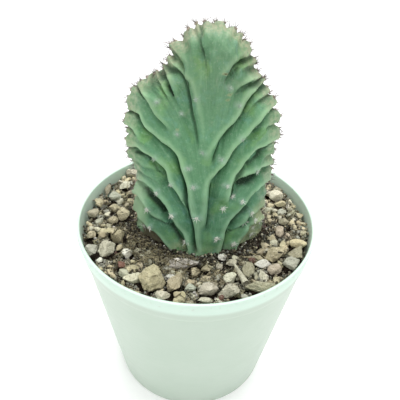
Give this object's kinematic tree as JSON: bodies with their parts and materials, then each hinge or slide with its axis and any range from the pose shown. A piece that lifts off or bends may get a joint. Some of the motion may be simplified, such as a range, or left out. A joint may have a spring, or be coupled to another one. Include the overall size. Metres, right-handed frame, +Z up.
{
  "type": "potted crested senita cactus",
  "caption": "Crested, fan-shaped senita cactus with feathered ribs and short spines, standing in a stone-topped round tapering plastic pot.",
  "frame": {"origin": "centre of the pot's foot, on the surface that it stands on", "axes": "+Z up, +X to the right across the fan, and the broad front of the fan faces -Y"},
  "size_m": [0.105, 0.105, 0.1786],
  "materials": {
    "pot_plastic": "satin, pale mint white",
    "potting_mix": "loose dark grit",
    "stones": "rough, tan, cream and grey",
    "cactus_skin": "waxy matte blue-green skin with felt areoles and horn spines"
  },
  "bodies": {
    "root": {"pot": "pot_plastic", "soil": "potting_mix", "gravel": "stones", "cactus": "cactus_skin"}
  },
  "joints": []
}
